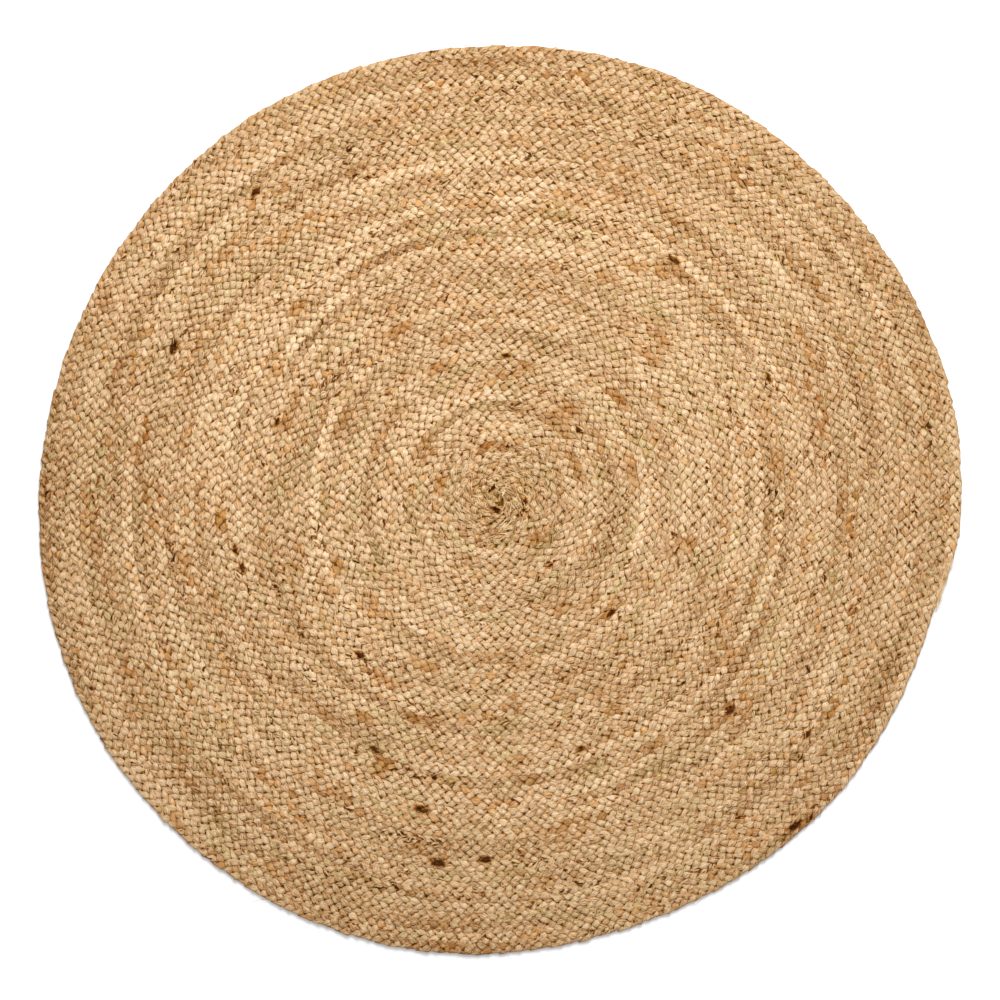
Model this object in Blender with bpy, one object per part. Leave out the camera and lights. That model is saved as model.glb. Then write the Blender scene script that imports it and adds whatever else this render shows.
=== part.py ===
"""Round jute rug: one long three-strand plait, coiled flat into a disc and sewn edge to edge.

Metres, +Z up. The rug lies flat on z = 0, with the middle of its outline at x = y = 0.
Seen from above, the plait leaves the heart of the coil and runs clockwise, turn against turn,
to a tail that narrows and is tucked against the turn before it.
"""

import math
from typing import NamedTuple

import bmesh
import bpy


class Swell(NamedTuple):
    """One way in which the hand-wound coil is out of round."""

    lobes: int  # bulges around the rim
    swing: float  # how far each one stands out at the rim
    toward: float  # direction of one bulge, in degrees anticlockwise from +X


# Driving sizes
RUG_DIAMETER = 1.200  # mean, over the rim
PLAIT_WIDTH = 0.01355  # one turn, from seam to seam
THICKNESS = 0.008  # floor to the crown of the plait
SEAM_DEPTH = 0.0026  # how far the seam between two turns lies below the crowns
HEART_WIDTHS = 0.5  # the first turn's inner side, in plait widths from the middle
HEAD_TAPER = 60.0  # degrees of turn over which the plait's first end widens from nothing
TAIL_TAPER = 9.0  # degrees of turn over which its last end narrows to nothing
UNDERCUT = 0.002  # how far the underside stays inside the widest line of the rim
TAIL_ANGLE = -15.0  # direction in which the plait ends, in degrees

SWELLS = (
    Swell(lobes=1, swing=0.0060, toward=-120.0),
    Swell(lobes=2, swing=0.0058, toward=31.0),
    Swell(lobes=3, swing=0.0024, toward=-5.0),
    Swell(lobes=6, swing=0.0016, toward=13.0),
    Swell(lobes=7, swing=0.0010, toward=10.0),
)

# Fineness of the faces
STEPS_PER_TURN = 56
RIM_ROWS = 2

# Worked out from the above
RUG_RADIUS = RUG_DIAMETER / 2
STEPS = round((RUG_RADIUS / PLAIT_WIDTH - HEART_WIDTHS - 0.5) * STEPS_PER_TURN)
TURNS = STEPS / STEPS_PER_TURN
SIDE_HEIGHT = THICKNESS / 2
MERGE_DISTANCE = 1e-6

# Finish
JUTE_COLOUR = (0.571, 0.356, 0.174, 1.0)
JUTE_ROUGHNESS = 0.9


def clear_scene():
    for old in list(bpy.data.objects):
        bpy.data.objects.remove(old, do_unlink=True)


def direction(turn):
    """Which way a point lies from the middle, in radians, after so many clockwise turns."""
    return math.radians(TAIL_ANGLE) + math.tau * (TURNS - turn)


def reach(widths, angle):
    """Distance from the middle to a point so many plait widths out in one direction."""
    plain = widths * PLAIT_WIDTH
    swell = sum(s.swing * math.cos(s.lobes * (angle - math.radians(s.toward))) for s in SWELLS)
    return plain + swell * (plain / RUG_RADIUS) ** 2


def seams(turn):
    """The plait's inner and outer seams, in plait widths from the middle.

    The first end leans on the turn outside it, and the last end on the turn inside it.
    """
    head_share = min(1.0, turn * 360.0 / HEAD_TAPER)
    tail_share = min(1.0, (TURNS - turn) * 360.0 / TAIL_TAPER)
    inner = HEART_WIDTHS + turn
    return inner + 1.0 - head_share, inner + tail_share


def top_point(turn, across):
    """A point on the plait's top, with across 0 at its inner seam, 0.5 at its crown, 1 outside."""
    angle = direction(turn)
    inner, outer = seams(turn)
    out = reach(inner + across * (outer - inner), angle)
    crown = SEAM_DEPTH * (outer - inner) * (1.0 - abs(2.0 * across - 1.0))
    return out * math.cos(angle), out * math.sin(angle), THICKNESS - SEAM_DEPTH + crown


def wind_plait(mesh):
    """A long strip, two faces wide, wound into the coil and joined to itself at each seam."""
    bmesh.ops.create_grid(mesh, x_segments=STEPS, y_segments=2, size=0.5)
    for vert in mesh.verts:
        step = round((vert.co.x + 0.5) * STEPS)
        vert.co = top_point(step / STEPS_PER_TURN, across=vert.co.y + 0.5)
    bmesh.ops.remove_doubles(mesh, verts=mesh.verts, dist=MERGE_DISTANCE)


def open_edges(mesh, farthest=math.inf):
    """The edges with one face, within this distance of the middle."""
    return [
        edge
        for edge in mesh.edges
        if edge.is_boundary and all(vert.co.xy.length < farthest for vert in edge.verts)
    ]


def fill_heart(mesh):
    """The small raised knot that the first turn goes round."""
    first_turn = (HEART_WIDTHS + 1.5) * PLAIT_WIDTH
    filled = bmesh.ops.holes_fill(mesh, edges=open_edges(mesh, first_turn), sides=0)
    poked = bmesh.ops.poke(mesh, faces=filled["faces"])
    for vert in poked["verts"]:
        vert.co = 0.0, 0.0, THICKNESS


def close_underside(mesh):
    """Rounds the rim under, from its widest line at half height, and lays the flat underside."""
    edges = open_edges(mesh)
    for vert in {vert for edge in edges for vert in edge.verts}:
        vert.co.z = SIDE_HEIGHT
    inset = 0.0
    for row in range(1, RIM_ROWS + 1):
        quarter = math.pi / 2 * row / RIM_ROWS
        step_in = UNDERCUT * (1.0 - math.cos(quarter)) - inset
        inset += step_in
        extruded = bmesh.ops.extrude_edge_only(mesh, edges=edges)["geom"]
        for vert in (item for item in extruded if isinstance(item, bmesh.types.BMVert)):
            vert.co.xy *= 1.0 - step_in / vert.co.xy.length
            vert.co.z = SIDE_HEIGHT * (1.0 - math.sin(quarter))
        edges = open_edges(mesh)
    bmesh.ops.holes_fill(mesh, edges=edges, sides=0)
    bmesh.ops.recalc_face_normals(mesh, faces=mesh.faces)


def centre_outline(mesh):
    """Puts the middle of the outline's box over the origin."""
    sides = [[vert.co[axis] for vert in mesh.verts] for axis in (0, 1)]
    middle = [(min(side) + max(side)) / 2 for side in sides]
    bmesh.ops.translate(mesh, verts=mesh.verts, vec=(-middle[0], -middle[1], 0.0))


def jute_material():
    material = bpy.data.materials.new("plaited_jute")
    material.use_nodes = True
    surface = material.node_tree.nodes["Principled BSDF"]
    surface.inputs["Base Color"].default_value = JUTE_COLOUR
    surface.inputs["Roughness"].default_value = JUTE_ROUGHNESS
    surface.inputs["Metallic"].default_value = 0.0
    return material


def make_coiled_plait(collection):
    mesh = bmesh.new()
    wind_plait(mesh)
    fill_heart(mesh)
    close_underside(mesh)
    centre_outline(mesh)
    data = bpy.data.meshes.new("coiled_plait")
    mesh.to_mesh(data)
    mesh.free()
    data.shade_smooth()
    data.set_sharp_from_angle(angle=math.radians(80.0))
    data.materials.append(jute_material())
    collection.objects.link(bpy.data.objects.new("coiled_plait", data))


def main():
    clear_scene()
    collection = bpy.data.collections.new("round_jute_rug")
    bpy.context.scene.collection.children.link(collection)
    make_coiled_plait(collection)


main()
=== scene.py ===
"""Looks of the round jute rug: three jute strands plaited, coiled flat and sewn edge to edge.

Metres, +Z up. The rug lies on the floor, z = 0, with the middle of its outline at x = y = 0.
Seen from above, the plait leaves the heart of the coil and runs clockwise to its tail.
Lengths along the plait start at its first end, in the heart, and "outward" is away from the middle.
"""

import math
from typing import NamedTuple

import bmesh
import bpy
import numpy as np
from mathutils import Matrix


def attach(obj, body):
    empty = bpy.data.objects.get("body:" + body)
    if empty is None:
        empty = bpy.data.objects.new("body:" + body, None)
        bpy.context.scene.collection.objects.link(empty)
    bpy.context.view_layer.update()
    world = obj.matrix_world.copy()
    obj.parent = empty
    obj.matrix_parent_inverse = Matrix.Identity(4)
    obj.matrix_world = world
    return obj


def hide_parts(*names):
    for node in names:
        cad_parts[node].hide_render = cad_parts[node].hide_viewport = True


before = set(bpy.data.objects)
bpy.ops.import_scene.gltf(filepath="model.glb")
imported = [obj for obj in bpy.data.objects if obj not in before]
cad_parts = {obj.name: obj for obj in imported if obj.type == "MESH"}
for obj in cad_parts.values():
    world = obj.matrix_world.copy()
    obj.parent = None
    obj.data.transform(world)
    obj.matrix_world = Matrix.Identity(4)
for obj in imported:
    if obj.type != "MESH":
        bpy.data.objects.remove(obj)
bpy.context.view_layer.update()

SOLID = "coiled_plait"
BODY = "root"


class Swell(NamedTuple):
    """One way in which the hand-wound coil is out of round."""

    lobes: int  # bulges around the rim
    swing: float  # how far each one stands out at the rim
    toward: float  # direction of one bulge, in degrees anticlockwise from +X


class Wave(NamedTuple):
    """One part of a course or size that repeats as a strand swings from side to side."""

    times: int  # in each full swing of the strand
    size: float
    peak: float  # where in the swing times its number its first peak lies, in degrees


class Drift(NamedTuple):
    """How unevenly a hand plaits: a random change at every spacing, up to a swing either way."""

    spacing: float
    swing: float


class Fibres(NamedTuple):
    """Fibres that have slipped out of the strands on one stretch of the plait."""

    first: float  # where the stretch starts and ends along the plait
    last: float
    count: int
    longest: float
    radius: float
    swerve: float  # most degrees between a fibre and the plait
    height: float


class Stray(NamedTuple):
    """A fibre that sticks out over the rim."""

    x: float
    y: float
    toward: float  # in degrees anticlockwise from +X
    length: float


class Fleck(NamedTuple):
    """A bit of dark bark left in the jute."""

    x: float
    y: float
    reach: float


# The coil, as the solid has it
RUG_DIAMETER = 1.200  # mean, over the rim
PLAIT_WIDTH = 0.01355  # one turn, from seam to seam
THICKNESS = 0.008
HEART_WIDTHS = 0.5  # the first full turn's inner side, in plait widths from the middle
TAIL_TAPER = 9.0  # degrees of turn over which the last end narrows to nothing
TAIL_ANGLE = -15.0  # direction in which the plait ends, in degrees
STEPS_PER_TURN = 56
SWELLS = (
    Swell(lobes=1, swing=0.0060, toward=-120.0),
    Swell(lobes=2, swing=0.0058, toward=31.0),
    Swell(lobes=3, swing=0.0024, toward=-5.0),
    Swell(lobes=6, swing=0.0016, toward=13.0),
    Swell(lobes=7, swing=0.0010, toward=10.0),
)
RUG_RADIUS = RUG_DIAMETER / 2
STEPS = round((RUG_RADIUS / PLAIT_WIDTH - HEART_WIDTHS - 0.5) * STEPS_PER_TURN)
TURNS = STEPS / STEPS_PER_TURN

# The plait
FIRST_TURN = -0.88  # the plait is curled up inside the heart before its first full turn
STITCH = 0.0134  # along the plait, from one lobe to the next on the same side
STRANDS = 3
PERIOD = STRANDS * STITCH  # after which a strand is back where it was
MID_HEIGHT = 0.0041  # of the strands' centre lines over the floor
CREST_HEIGHT = 0.0056  # above this a strand's centre line rises only by CREST_SHARE
CREST_SHARE = 0.41
LOWEST = 0.0002  # below this height a strand is pressed flat on the floor
RINGS = (0.0, 22.5, 45.0, 67.5, 90.0, 130.0)  # degrees of swing; on top to 90, then underneath
SECTION = (270.0, 0.0, 45.0, 90.0, 135.0, 180.0)  # corners round a strand, 0 is outward
PLUMPNESS = 3.13  # 2 gives a strand an elliptical section, and more a fuller one
STRAND_GIRTH = 0.019  # once round it, for the pattern

# A strand over one full swing, which starts on the plait's centre line, going outward on top.
# A program fitted these waves to the average stitch in the photograph, and with them
# PLUMPNESS, CREST_HEIGHT, CREST_SHARE, MIDDLE_CREASE and SEAM_CREASE.
SIDEWAYS = (Wave(1, 0.00591, 90.0), Wave(3, 0.00094, -15.8))
LIFT = (Wave(2, 0.00197, 100.0), Wave(4, 0.00118, 115.1))
HALF_WIDTH = (Wave(0, 0.00373, 0.0), Wave(2, 0.00092, 28.2), Wave(4, 0.00100, 178.6))
HALF_HEIGHT = (Wave(0, 0.00153, 0.0), Wave(2, 0.00046, -23.8))

# How uneven the plait is
PULL = Drift(0.3, 0.005)  # along the plait, of all the strands together
SLIP = Drift(0.009, 0.0024)  # along the plait, of one strand
SWAY = Drift(0.010, 0.0012)  # sideways
BOB = Drift(0.010, 0.0005)  # up and down
BULK = Drift(0.15, 0.08)  # of a strand's thickness, as a share of it, over several stitches
LUMPS = Drift(0.009, 0.22)  # the same from stitch to stitch
HEART_UNREST = 1.5  # the heart is wound less neatly than the rest, by this share more
HEART_REACH = 0.5  # and the unrest fades over this length
FIRST_SEED = 100
PULL_SEED = 11

# The two ends of the plait
START_TAPER = 0.012  # over which each strand reaches its full width
START_SHARE = 0.2  # of that width, at its tip
TIE_SHARE = 0.92  # below this share of the plait's width the tail's strands begin to run straight
TIE_FADE = 0.40  # and they all do so when it has lost this share more
TAIL_RISE = 0.0008
TAIL_SPREAD = 0.0034  # between the strands where they run straight
TAIL_HALF_WIDTH = 0.0026
TAIL_TIP = 0.4  # a strand's half width at the tail's tip, in times TAIL_HALF_WIDTH
TAIL_FLATTENING = 0.25  # how much thinner the strands are in the tail
RIM_SHIFT = 0.0025  # inward, of the last turns, so that their lobes end where the solid's rim does
RIM_TURNS = 4.0

MIDDLE_CREASE = 0.91  # how dark the painted shade on a strand's flanks is at the plait's middle
SEAM_CREASE = 0.69  # and at the seam, as a share of that
TAIL_CREASE = 0.12  # painted shade all over the tail
CREASE_EDGE = 5  # more leaves less of a strand's sides dark
ZONES = (0.0, 0.42, 1.0)  # where each strand is parted into pieces, as shares of its length
ZONE_NAMES = ("inner", "outer")

LAY_MAP = "fibre_lay"  # u is the length along the plait in metres, v the way round the strand
BAKE_MAP = "OFBake"
BAKE_STRETCH = 1.25  # how much finer the baking map is along a strand than round it
BAKE_MARGIN = 0.04  # left free at each side of a row, as a share of its height
CREASE_SHADE = "crease_shade"  # painted shade: 1 on a strand's flanks along the plait's middle, less towards the seam
BARK = "bark"  # 1 where the jute is dark with bark

FLECK_ACROSS = 0.75  # a fleck's half width across and along the turns, in times its reach
FLECK_ALONG = 1.6
FLECKS = (  # chosen from a program's list of the darkest spots in the photograph, sized one by one
    Fleck(0.228, 0.315, 0.006),
    Fleck(0.386, -0.427, 0.007),
    Fleck(-0.082, -0.475, 0.0075),
    Fleck(-0.019, -0.471, 0.006),
    Fleck(0.008, 0.189, 0.005),
    Fleck(-0.347, -0.065, 0.005),
    Fleck(-0.338, -0.090, 0.006),
    Fleck(-0.320, 0.404, 0.006),
    Fleck(0.352, 0.160, 0.005),
    Fleck(-0.292, 0.103, 0.005),
    Fleck(-0.427, 0.200, 0.007),
    Fleck(-0.183, -0.204, 0.006),
    Fleck(0.301, -0.276, 0.006),
    Fleck(0.403, -0.307, 0.005),
    Fleck(-0.164, -0.327, 0.005),
    Fleck(0.145, -0.149, 0.005),
    Fleck(0.106, -0.326, 0.005),
    Fleck(0.103, 0.092, 0.005),
    Fleck(-0.103, -0.406, 0.007),
    Fleck(-0.010, 0.014, 0.004),
    Fleck(-0.005, -0.013, 0.005),
    Fleck(0.033, -0.002, 0.004),
    Fleck(0.030, -0.014, 0.004),
)

# The packed fibres inside the plait
CORE_INSET = 0.005  # from the rim
CORE_BOTTOM = 0.0010
CORE_TOP = 0.0037
CORE_CORNERS = 360


def direction(turn):
    """Which way a point lies from the middle, in radians, after so many clockwise turns."""
    return math.radians(TAIL_ANGLE) + math.tau * (TURNS - turn)


def reach(widths, angle):
    """Distance from the middle to a point so many plait widths out in one direction."""
    plain = widths * PLAIT_WIDTH
    swell = sum(s.swing * np.cos(s.lobes * (angle - math.radians(s.toward))) for s in SWELLS)
    return plain + swell * (plain / RUG_RADIUS) ** 2


def tail_share(turn):
    """The plait's width as a share of its full width: 1, and less along the tail."""
    return np.clip((TURNS - turn) * 360.0 / TAIL_TAPER, 0.0, 1.0)


def flat_point(widths, turn):
    """A point in the plane, before the outline is centred."""
    angle = direction(turn)
    out = reach(widths, angle)
    return np.stack([out * np.cos(angle), out * np.sin(angle)], axis=-1)


def outline_middle():
    """The middle of the solid's outline, from the corners of its outer seam."""
    turn = np.arange(STEPS + 1) / STEPS_PER_TURN
    seam = flat_point(HEART_WIDTHS + turn + tail_share(turn), turn)
    return (seam.min(axis=0) + seam.max(axis=0)) / 2


OUTLINE_MIDDLE = outline_middle()


def centre_line(turn):
    """The middle of the plait, halfway between its seams."""
    return flat_point(HEART_WIDTHS + turn + tail_share(turn) / 2, turn) - OUTLINE_MIDDLE


def heading(turn):
    """The plait's direction towards its tail, as a vector of length 1."""
    little = 1e-3
    run = centre_line(turn + little) - centre_line(turn - little)
    return run / np.linalg.norm(run, axis=-1, keepdims=True)


# The length along the plait at each of many places on the coil, in turns
MARKS = 18_000
TURN_MARKS = np.linspace(FIRST_TURN, TURNS, MARKS)
LENGTH_MARKS = np.concatenate(
    [[0.0], np.cumsum(np.linalg.norm(np.diff(centre_line(TURN_MARKS), axis=0), axis=1))]
)
PLAIT_LENGTH = LENGTH_MARKS[-1]

# Loose fibres: curled up in the knot of the heart, over the untidy turns round it, over the
# rest of the rug, and along the bare tail
FIBRE_RINGS = 7
FIBRE_SIDES = 4
FIBRE_SCATTER = 0.006  # from the plait's middle
FIBRE_DIP = 0.0012  # of a fibre's ends
FIBRE_TAPER = 0.8  # how much thinner its ends are
FIBRE_LENGTHS = (0.4, 1.0)  # shortest and longest, in times its kind's longest
FIBRE_RADII = (0.7, 1.3)  # thinnest and thickest, in times its kind's radius
FIBRE_BEND = 1.4  # most that a fibre turns from end to end, in times its kind's swerve
TAIL_START, TAIL_END = PLAIT_LENGTH - 0.09, PLAIT_LENGTH - 0.02
LOOSE = (
    Fibres(0.0, 0.06, 20, longest=0.025, radius=0.0011, swerve=80.0, height=0.0060),
    Fibres(0.02, 0.75, 150, longest=0.030, radius=0.0005, swerve=22.0, height=0.0070),
    Fibres(0.75, PLAIT_LENGTH - 0.4, 320, longest=0.040, radius=0.00025, swerve=50.0, height=0.0074),
    Fibres(TAIL_START, TAIL_END, 36, longest=0.020, radius=0.0005, swerve=6.0, height=0.0064),
)
STRAYS = (
    Stray(-0.078, 0.589, 122.0, 0.016),
    Stray(0.568, -0.137, -20.0, 0.012),
    Stray(0.571, -0.132, -62.0, 0.013),
    Stray(0.566, -0.143, 12.0, 0.013),
    Stray(0.563, -0.150, -40.0, 0.011),
)
STRAY_RADIUS = 0.0002
STRAY_HEIGHT = 0.006
STRAY_BEND = 0.8  # most that a stray turns from end to end, in radians
LOOSE_SEED = 7

# Heights between which the plait's painted shade fades out, and where its heart ends
SHADED_HEIGHT = 0.0025
LIT_HEIGHT = 0.0062
HEART_RADIUS = 0.07


def wander(rng, places, drift):
    """Random drift at these places along the plait."""
    knots = np.arange(-drift.spacing, PLAIT_LENGTH + 2 * drift.spacing, drift.spacing)
    return np.interp(places, knots, rng.uniform(-drift.swing, drift.swing, len(knots)))


def total(waves, swing):
    """What these waves add up to at each place in the strand's swing, in radians."""
    return sum(w.size * np.cos(w.times * swing - math.radians(w.peak)) for w in waves)


def strand_course(strand):
    """Rings of points round one strand, its length along the plait at each, and the painted shade in its
    creases.
    """
    rng = np.random.default_rng(FIRST_SEED + strand)
    half_periods = math.ceil(2 * PLAIT_LENGTH / PERIOD) + 2
    swing = np.add.outer(np.arange(-1, half_periods) * math.pi, np.radians(RINGS)).ravel()
    along = (swing / math.tau - strand / STRANDS) * PERIOD
    inside = (along >= 0.0) & (along <= PLAIT_LENGTH)
    swing, along = swing[inside], along[inside]

    along = along + wander(np.random.default_rng(PULL_SEED), along, PULL) + wander(rng, along, SLIP)
    along = np.clip(along, 0.0, PLAIT_LENGTH)
    turn = np.interp(along, LENGTH_MARKS, TURN_MARKS)
    share = tail_share(turn)
    ahead = heading(turn)
    outward = np.stack([-ahead[:, 1], ahead[:, 0]], axis=1)

    unruly = 1.0 + HEART_UNREST * np.exp(-along / HEART_REACH)
    straight = np.clip((TIE_SHARE - share) / TIE_FADE, 0.0, 1.0)
    plaited = 1.0 - straight
    thick = 1.0 + wander(rng, along, BULK) + wander(rng, along, LUMPS)
    swung = plaited * (total(SIDEWAYS, swing) + unruly * wander(rng, along, SWAY))
    sideways = share * (swung + straight * (strand - 1) * TAIL_SPREAD)
    lifted = plaited * (total(LIFT, swing) + unruly * wander(rng, along, BOB))
    height = MID_HEIGHT + TAIL_RISE * straight + lifted
    tail_width = straight * TAIL_HALF_WIDTH * (TAIL_TIP + share)
    half_width = (plaited * total(HALF_WIDTH, swing) + tail_width) * thick
    half_width *= np.clip(along / START_TAPER, START_SHARE, 1.0)
    half_height = total(HALF_HEIGHT, swing) * (1.0 - TAIL_FLATTENING * straight) * np.sqrt(thick)

    core = np.empty((len(along), 3))
    rim_share = np.clip((turn - (TURNS - RIM_TURNS)) / (RIM_TURNS - 1.0), 0.0, 1.0)
    core[:, :2] = centre_line(turn) + outward * (sideways - RIM_SHIFT * rim_share)[:, None]
    crest = CREST_HEIGHT + CREST_SHARE * (height - CREST_HEIGHT)
    core[:, 2] = np.maximum(np.minimum(height, crest), half_height + LOWEST)
    run = np.gradient(core, axis=0)
    across = np.stack([-run[:, 1], run[:, 0]], axis=1)
    across /= np.linalg.norm(across, axis=1)[:, None]

    corner = np.radians(SECTION)
    ways = (np.cos(corner), np.sin(corner))
    aside, above = (np.sign(way) * np.abs(way) ** (2 / PLUMPNESS) for way in ways)
    points = np.repeat(core[:, None, :], len(SECTION), axis=1)
    points[:, :, :2] += across[:, None, :] * (half_width[:, None] * aside)[:, :, None]
    points[:, :, 2] += half_height[:, None] * above
    pressed = LOWEST * np.exp(np.minimum(points[:, :, 2] / LOWEST - 1.0, 0.0))
    points[:, :, 2] = np.maximum(points[:, :, 2], pressed)

    # Painted shade on the strand's flanks, darkest along the plait's middle, and light over the whole tail
    crease_shade = MIDDLE_CREASE * (SEAM_CREASE + (1.0 - SEAM_CREASE) * np.cos(swing) ** 2) * plaited
    crease_shade = crease_shade[:, None] * np.abs(np.cos(corner)) ** CREASE_EDGE
    return points, along, np.maximum(crease_shade, TAIL_CREASE * straight[:, None])


def rolled_tube(name, rings, sides):
    """A straight tube's mesh, rolled from a grid and closed at both ends: x counts its rings."""
    touching = 1e-3
    mesh = bmesh.new()
    mesh.loops.layers.uv.new(LAY_MAP)
    bmesh.ops.create_grid(mesh, x_segments=rings - 1, y_segments=sides, size=0.5, calc_uvs=True)
    for vert in mesh.verts:
        turn = math.tau * (vert.co.y + 0.5)
        vert.co = (vert.co.x + 0.5) * (rings - 1), math.cos(turn), math.sin(turn)
    bmesh.ops.remove_doubles(mesh, verts=mesh.verts, dist=touching)
    bmesh.ops.holes_fill(mesh, edges=[edge for edge in mesh.edges if edge.is_boundary], sides=0)
    bmesh.ops.recalc_face_normals(mesh, faces=mesh.faces)
    data = bpy.data.meshes.new(name)
    mesh.to_mesh(data)
    mesh.free()
    return data


def numbers(items, name, width):
    """One property of many mesh items, as rows of numbers."""
    found = np.empty(len(items) * width, np.float32)
    items.foreach_get(name, found)
    return found.reshape(-1, width)


def ring_and_side(data, sides):
    """Which ring and side of a rolled tube each of its points belongs to."""
    straight = numbers(data.vertices, "co", 3)
    ring = np.rint(straight[:, 0]).astype(int)
    side = np.arctan2(straight[:, 2], straight[:, 1]) / math.tau * sides
    return ring, np.rint(side).astype(int) % sides


def fill_in(items, name, values):
    """Sets one property of many mesh items."""
    items.foreach_set(name, values.astype(np.float32).ravel())


def shown(data, material):
    """Gives a mesh its material, and puts it in the scene as a piece of its own."""
    data.materials.append(material)
    piece = bpy.data.objects.new(data.name, data)
    bpy.context.scene.collection.objects.link(piece)
    return piece


def bark_share(points):
    """1 in the middle of a fleck of bark, and 0 away from all of them. Flecks lie along the turns."""
    nearest = np.full(len(points), math.inf)
    for fleck in FLECKS:
        out = math.atan2(fleck.y, fleck.x)
        aside = points[:, :2] - (fleck.x, fleck.y)
        across = aside @ (math.cos(out), math.sin(out)) / (FLECK_ACROSS * fleck.reach)
        along = aside @ (-math.sin(out), math.cos(out)) / (FLECK_ALONG * fleck.reach)
        nearest = np.minimum(nearest, across**2 + along**2)
    return np.exp(-nearest)


def strand_piece(name, points, along, crease_shade, strand, material):
    """A closed piece of strand through rings of points, with its two UV maps."""
    rings, sides = points.shape[:2]
    data = rolled_tube(name, rings, sides)
    ring, side = ring_and_side(data, sides)
    fill_in(data.vertices, "co", points[ring, side])
    for layer, values in ((CREASE_SHADE, crease_shade[ring, side]), (BARK, bark_share(points[ring, side]))):
        fill_in(data.attributes.new(layer, "FLOAT", "POINT").data, "value", values)

    lay = numbers(data.uv_layers[LAY_MAP].uv, "vector", 2) * (rings - 1, sides)
    ring, side = np.rint(lay).astype(int).T
    placed = np.stack([along[ring], side / sides * STRAND_GIRTH + strand], axis=1)
    fill_in(data.uv_layers[LAY_MAP].uv, "vector", placed)

    # For baking, the strand is cut into rows that lie one above the other in the square
    starts = np.empty(len(data.polygons), np.int32)
    data.polygons.foreach_get("loop_start", starts)
    corners = np.diff(np.append(starts, len(ring)))
    first = np.repeat(np.minimum.reduceat(ring, starts), corners)
    rows = max(1, round(math.sqrt((along[-1] - along[0]) * BAKE_STRETCH / STRAND_GIRTH)))
    per_row = math.ceil((rings - 1) / rows)
    row = first // per_row
    up = BAKE_MARGIN + (1.0 - 2.0 * BAKE_MARGIN) * side / sides
    packed = np.stack([(ring - row * per_row) / per_row, (row + up) / rows], axis=1)
    fill_in(data.uv_layers.new(name=BAKE_MAP).uv, "vector", packed)
    data.uv_layers.active = data.uv_layers[LAY_MAP]

    data.shade_smooth()
    data.update()
    return shown(data, material)


def plaited_strands(material):
    """The three strands, each in as many pieces as there are zones."""
    pieces = []
    for strand in range(STRANDS):
        course = strand_course(strand)
        marks = [round(share * (len(course[1]) - 1)) for share in ZONES]
        for zone, start, stop in zip(ZONE_NAMES, marks, marks[1:]):
            name = f"strand_{strand + 1}_{zone}_turns"
            stretch = (part[start : stop + 1] for part in course)
            pieces.append(strand_piece(name, *stretch, strand, material))
    return pieces


def fibre_rings(start, toward, length, bend, height, radius):
    """Rings of points round a fibre that lies over the strands, with both ends turned down."""
    share = np.linspace(0.0, 1.0, FIBRE_RINGS)
    from_middle = 2.0 * share - 1.0
    way = toward + bend * (share - 0.5)
    step = length / (FIBRE_RINGS - 1)
    x = start[0] + np.cumsum(step * np.cos(way))
    y = start[1] + np.cumsum(step * np.sin(way))
    core = np.stack([x, y, height - FIBRE_DIP * from_middle**2], axis=1)
    across = np.stack([-np.sin(way), np.cos(way), np.zeros(FIBRE_RINGS)], axis=1)
    corner = np.arange(FIBRE_SIDES) * math.tau / FIBRE_SIDES
    thick = radius * (1.0 - FIBRE_TAPER * from_middle**4)
    points = core[:, None, :] + across[:, None, :] * np.outer(thick, np.cos(corner))[:, :, None]
    points[:, :, 2] += np.outer(thick, np.sin(corner))
    return points


def loose_fibre_courses():
    """Rings of points round every loose fibre: thickest in the heart, and bare at the tail."""
    rng = np.random.default_rng(LOOSE_SEED)
    courses = []
    for kind in LOOSE:
        for along in rng.uniform(kind.first, kind.last, kind.count):
            turn = np.interp(along, LENGTH_MARKS, TURN_MARKS)
            aside = rng.uniform(-FIBRE_SCATTER, FIBRE_SCATTER, 2) * tail_share(turn) ** 2
            swerve = math.radians(rng.uniform(-kind.swerve, kind.swerve))
            ahead = heading(turn)
            toward = math.atan2(ahead[1], ahead[0]) + swerve
            bend = FIBRE_BEND * math.radians(kind.swerve) * rng.uniform(-1.0, 1.0)
            size = kind.radius * rng.uniform(*FIBRE_RADII)
            length = kind.longest * rng.uniform(*FIBRE_LENGTHS)
            start = centre_line(turn) + aside
            courses.append(fibre_rings(start, toward, length, bend, kind.height, size))
    for stray in STRAYS:
        toward = math.radians(stray.toward)
        bend = rng.uniform(-STRAY_BEND, STRAY_BEND)
        start = (stray.x, stray.y)
        courses.append(fibre_rings(start, toward, stray.length, bend, STRAY_HEIGHT, STRAY_RADIUS))
    return courses


def loose_fibres(material):
    """Fibres that have slipped out of the strands and lie over the crowns, as one piece."""
    one = rolled_tube("one_fibre", FIBRE_RINGS, FIBRE_SIDES)
    ring, side = ring_and_side(one, FIBRE_SIDES)
    together = bmesh.new()
    for points in loose_fibre_courses():
        fill_in(one.vertices, "co", points[ring, side])
        together.from_mesh(one)
    data = bpy.data.meshes.new("loose_fibres")
    together.to_mesh(data)
    together.free()
    bpy.data.meshes.remove(one)
    data.shade_smooth()
    return shown(data, material)


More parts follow.
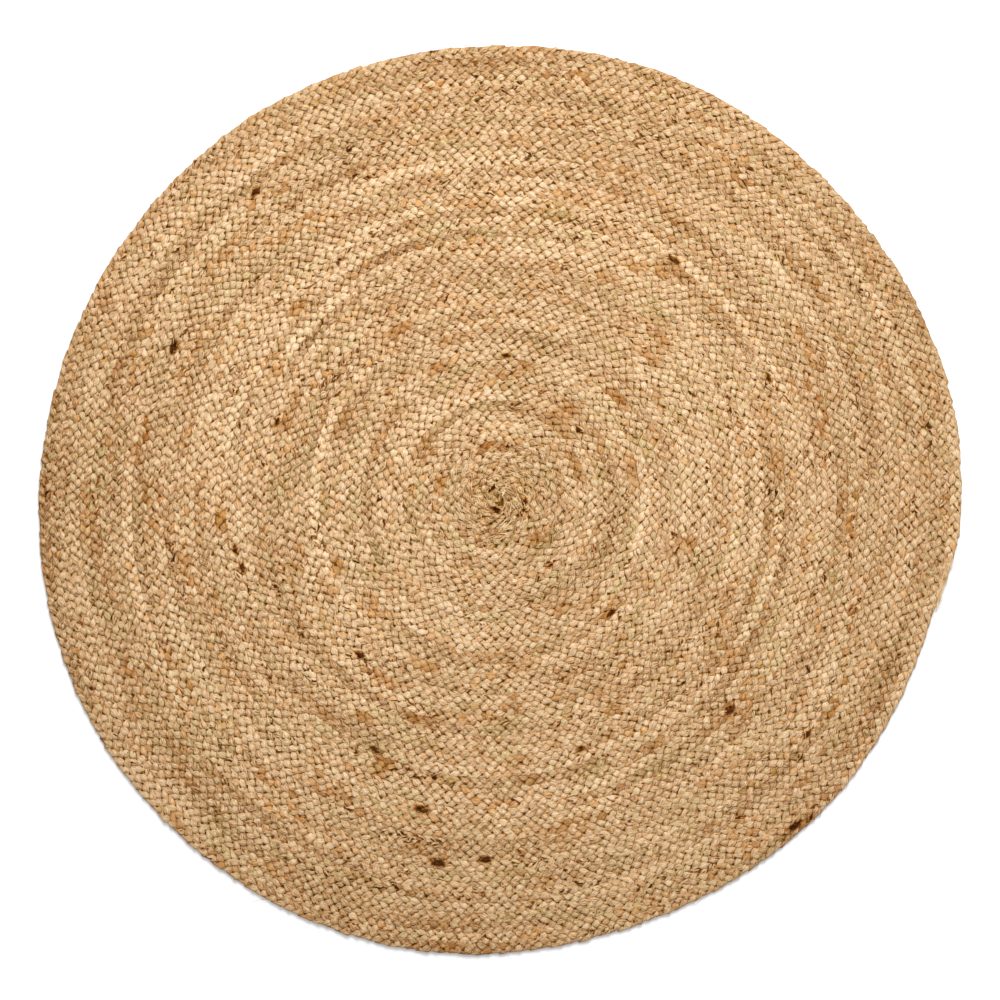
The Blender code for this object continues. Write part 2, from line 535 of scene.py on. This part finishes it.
def inner_fibres(material):
    """The packed fibres between the strands at half height, which close the gaps in the plait; dark with
    painted shade.
    """
    mesh = bmesh.new()
    bmesh.ops.create_circle(mesh, cap_ends=True, segments=CORE_CORNERS, radius=1.0)
    for vert in mesh.verts:
        angle = math.atan2(vert.co.y, vert.co.x)
        turn = TURNS - ((angle - math.radians(TAIL_ANGLE)) / math.tau) % 1.0
        rim = flat_point(HEART_WIDTHS + turn + tail_share(turn), turn) - OUTLINE_MIDDLE
        rim *= 1.0 - CORE_INSET / np.linalg.norm(rim)
        vert.co = rim[0], rim[1], CORE_BOTTOM
    raised = bmesh.ops.extrude_face_region(mesh, geom=mesh.faces[:])["geom"]
    top = [item for item in raised if isinstance(item, bmesh.types.BMVert)]
    bmesh.ops.translate(mesh, verts=top, vec=(0.0, 0.0, CORE_TOP - CORE_BOTTOM))
    bmesh.ops.recalc_face_normals(mesh, faces=mesh.faces)
    data = bpy.data.meshes.new("inner_fibres")
    mesh.to_mesh(data)
    mesh.free()
    return shown(data, material)


def linear(hex_colour):
    """An sRGB hex colour as linear RGBA."""
    parts = [int(hex_colour[i : i + 2], 16) / 255 for i in (1, 3, 5)]
    return [p / 12.92 if p <= 0.04045 else ((p + 0.055) / 1.055) ** 2.4 for p in parts] + [1.0]


def node(tree, kind, inputs, stops=(), **settings):
    """Adds a node with its settings; each input is a value or another node's output."""
    new = tree.nodes.new(kind)
    for name, value in settings.items():
        setattr(new, name, value)
    for name, value in inputs.items():
        socket = new.inputs[name]
        if isinstance(value, bpy.types.NodeSocket):
            tree.links.new(value, socket)
        else:
            socket.default_value = value
    if stops:
        ramp = new.color_ramp.elements
        while len(ramp) < len(stops):
            ramp.new(0.5)
        for stop, (position, colour) in zip(ramp, stops):
            stop.position, stop.color = position, linear(colour)
    return new


def matt_surface(name, roughness):
    """A new material without gloss, its node tree and its surface shader."""
    material = bpy.data.materials.new(name)
    material.use_nodes = True
    surface = material.node_tree.nodes["Principled BSDF"]
    surface.inputs["Roughness"].default_value = roughness
    surface.inputs["Specular IOR Level"].default_value = 0.1
    return material, material.node_tree, surface


def combed_jute():
    """Undyed jute, retted and combed into slack strands. To the eye it is matt, straw to tan,
    streaked along the fibre and brown between the strands, with bits of dark bark left in it."""
    material, tree, surface = matt_surface("combed_jute_strand", roughness=0.85)
    lay = node(tree, "ShaderNodeUVMap", {}, uv_map=LAY_MAP).outputs["UV"]
    place = node(tree, "ShaderNodeTexCoord", {}).outputs["Object"]
    distance = node(tree, "ShaderNodeVectorMath", {0: place}, operation="LENGTH").outputs["Value"]

    def streaks(length, width, detail=2.0):
        """Noise that runs along the strands, with its real length and width in millimetres."""
        scale = (1000.0 / length, 1000.0 / width, 1.0)
        scaled = node(tree, "ShaderNodeMapping", {"Vector": lay, "Scale": scale}).outputs[0]
        inputs = {"Vector": scaled, "Scale": 1.0, "Detail": detail, "Roughness": 0.5}
        return node(tree, "ShaderNodeTexNoise", inputs, noise_dimensions="2D").outputs[0]

    # How light the jute is. The fibres, 0.05 mm wide, are drawn 0.9 mm wide so that they show.
    fibres = streaks(6.25, 0.9, detail=4.0)
    in_heart = {"Value": distance, "From Max": HEART_RADIUS, "To Min": 2.4, "To Max": 1.3}
    untidy = node(tree, "ShaderNodeMapRange", in_heart).outputs[0]
    tone = 0.5
    for noise, gain in (
        (streaks(2500.0, math.inf), 0.35),
        (streaks(400.0, math.inf), 0.45),
        (streaks(125.0, 125.0), 0.26),
        (streaks(20.0, 17.0), 0.42),
        (fibres, untidy),
    ):
        centred = node(tree, "ShaderNodeMath", {0: noise, 1: 0.5}, operation="SUBTRACT").outputs[0]
        sum_of = {0: centred, 1: gain, 2: tone}
        tone = node(tree, "ShaderNodeMath", sum_of, operation="MULTIPLY_ADD").outputs[0]
    straw = ((0.10, "#70491F"), (0.33, "#AD8962"), (0.50, "#CAAC89"), (0.80, "#E8D0B2"))
    colour = node(tree, "ShaderNodeValToRGB", {"Fac": tone}, stops=straw).outputs[0]

    bits = streaks(12.5, 3.8)
    barky = {0: streaks(110.0, 17.0, detail=0.0), 1: bits}
    specks = node(tree, "ShaderNodeMath", barky, operation="MULTIPLY").outputs[0]
    bark = node(tree, "ShaderNodeAttribute", {}, attribute_name=BARK).outputs["Fac"]
    flecks = node(tree, "ShaderNodeMath", {0: bark, 1: bits}, operation="MULTIPLY").outputs[0]
    # Painted shade: the lower the jute lies, the darker it is
    height = node(tree, "ShaderNodeSeparateXYZ", {0: place}).outputs["Z"]
    raised = {"Value": height, "From Min": SHADED_HEIGHT, "From Max": LIT_HEIGHT}
    shade_by_height = node(tree, "ShaderNodeMapRange", raised, interpolation_type="SMOOTHSTEP").outputs[0]
    crease_shade = node(tree, "ShaderNodeAttribute", {}, attribute_name=CREASE_SHADE).outputs["Fac"]
    plain = "#FFFFFF"
    for amount, stops in (
        # Some strands are greener, some more golden, and here and there the whole plait is
        (streaks(85.0, 50.0), ((0.30, "#F5F8EC"), (0.45, plain), (0.58, "#FFFCF8"), (0.76, "#F2DAB4"))),
        (streaks(100.0, math.inf), ((0.30, "#F3F8EC"), (0.43, plain), (0.58, plain), (0.74, "#D6B682"))),
        # Bits of bark: small ones all over, and the large flecks
        (specks, ((0.435, plain), (0.485, "#C4A068"), (0.56, "#5A3A12"))),
        (flecks, ((0.09, plain), (0.21, "#D8B478"), (0.32, "#5E4018"))),
        # Painted shade between the strands: darker low down, and on the strands' flanks
        (shade_by_height, ((0.0, "#B48C4C"), (0.4, "#F6E8C8"), (1.0, plain))),
        (crease_shade, ((0.0, plain), (0.3, "#F0DCB0"), (0.6, "#AC8440"), (1.0, "#4E2C06"))),
        # By the distance from the middle: darker in the heart, and a little darker towards the rim
        (distance, ((0.0, "#DED2B4"), (0.035, "#FAF4E6"), (0.06, plain), (0.40, plain), (0.60, "#F3F0EC"))),
    ):
        shade = node(tree, "ShaderNodeValToRGB", {"Fac": amount}, stops=stops).outputs[0]
        both = {"Factor": 1.0, "A": colour, "B": shade}
        mixed = node(tree, "ShaderNodeMix", both, data_type="RGBA", blend_type="MULTIPLY")
        colour = mixed.outputs["Result"]
    tree.links.new(colour, surface.inputs["Base Color"])

    ridges = {"Height": streaks(17.0, 0.9, detail=3.0), "Distance": 0.0004, "Strength": 0.6}
    tree.links.new(node(tree, "ShaderNodeBump", ridges).outputs[0], surface.inputs["Normal"])
    return material


def mottled(name, size, stops):
    """Matt fibre whose colour changes over this size, in millimetres."""
    material, tree, surface = matt_surface(name, roughness=0.9)
    place = node(tree, "ShaderNodeTexCoord", {}).outputs["Object"]
    inputs = {"Vector": place, "Scale": 1000.0 / size}
    noise = node(tree, "ShaderNodeTexNoise", inputs).outputs[0]
    colour = node(tree, "ShaderNodeValToRGB", {"Fac": noise}, stops=stops).outputs[0]
    tree.links.new(colour, surface.inputs["Base Color"])
    return material


def loose_jute():
    """Single fibres of jute, pulled out of the strands: paler than these, straw to cream."""
    return mottled("loose_jute_fibre", size=11.0, stops=((0.35, "#A8844E"), (0.65, "#E8CDA2")))


def packed_jute_in_painted_shade():
    """Jute packed tight inside the plait, where hardly any light gets: painted shade, dark brown."""
    return mottled("packed_jute_in_painted_shade", size=2.5, stops=((0.3, "#4E2E06"), (0.7, "#7A4C10")))


def add_camera():
    """Straight above the rug, looking down, with +Y up in the picture."""
    data = bpy.data.cameras.new("camera")
    data.lens = 100.0
    data.sensor_width = 36.0
    camera = bpy.data.objects.new("camera", data)
    picture_width = 1.31
    camera.location = (0.0, 0.0, picture_width * data.lens / data.sensor_width + THICKNESS)
    data.clip_end = 30.0
    bpy.context.scene.collection.objects.link(camera)
    bpy.context.scene.camera = camera


def add_light(name, place, size, power):
    """A square soft box that points at the middle of the rug."""
    data = bpy.data.lights.new(name, "AREA")
    data.size = size
    data.energy = power
    light = bpy.data.objects.new(name, data)
    light.location = place
    light.rotation_euler = (-light.location).to_track_quat("-Z", "Y").to_euler()
    bpy.context.scene.collection.objects.link(light)


def add_floor():
    """White card under the rug, plain and matt, and wide enough for low views."""
    middle_to_edge = 14.0
    paper_white = (0.9, 0.9, 0.9, 1.0)
    mesh = bmesh.new()
    bmesh.ops.create_grid(mesh, x_segments=1, y_segments=1, size=middle_to_edge)
    data = bpy.data.meshes.new("floor")
    mesh.to_mesh(data)
    mesh.free()
    material = bpy.data.materials.new("white_card")
    material.use_nodes = True
    surface = material.node_tree.nodes["Principled BSDF"]
    surface.inputs["Base Color"].default_value = paper_white
    surface.inputs["Roughness"].default_value = 0.9
    shown(data, material)


def add_studio():
    """Soft light from all round, and a key light above and beyond the rug's far edge."""
    scene = bpy.context.scene
    scene.view_settings.view_transform = "Standard"
    world = bpy.data.worlds.new("studio")
    world.use_nodes = True
    background = world.node_tree.nodes["Background"]
    background.inputs["Color"].default_value = (1.0, 1.0, 1.0, 1.0)
    background.inputs["Strength"].default_value = 0.745
    scene.world = world
    add_light("key", place=(0.3, 2.1, 2.6), size=1.6, power=108.0)
    add_floor()


add_camera()
strands = plaited_strands(combed_jute())
core = inner_fibres(packed_jute_in_painted_shade())
loose = loose_fibres(loose_jute())
for piece in (*strands, loose, core):
    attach(piece, BODY)
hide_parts(SOLID)
add_studio()
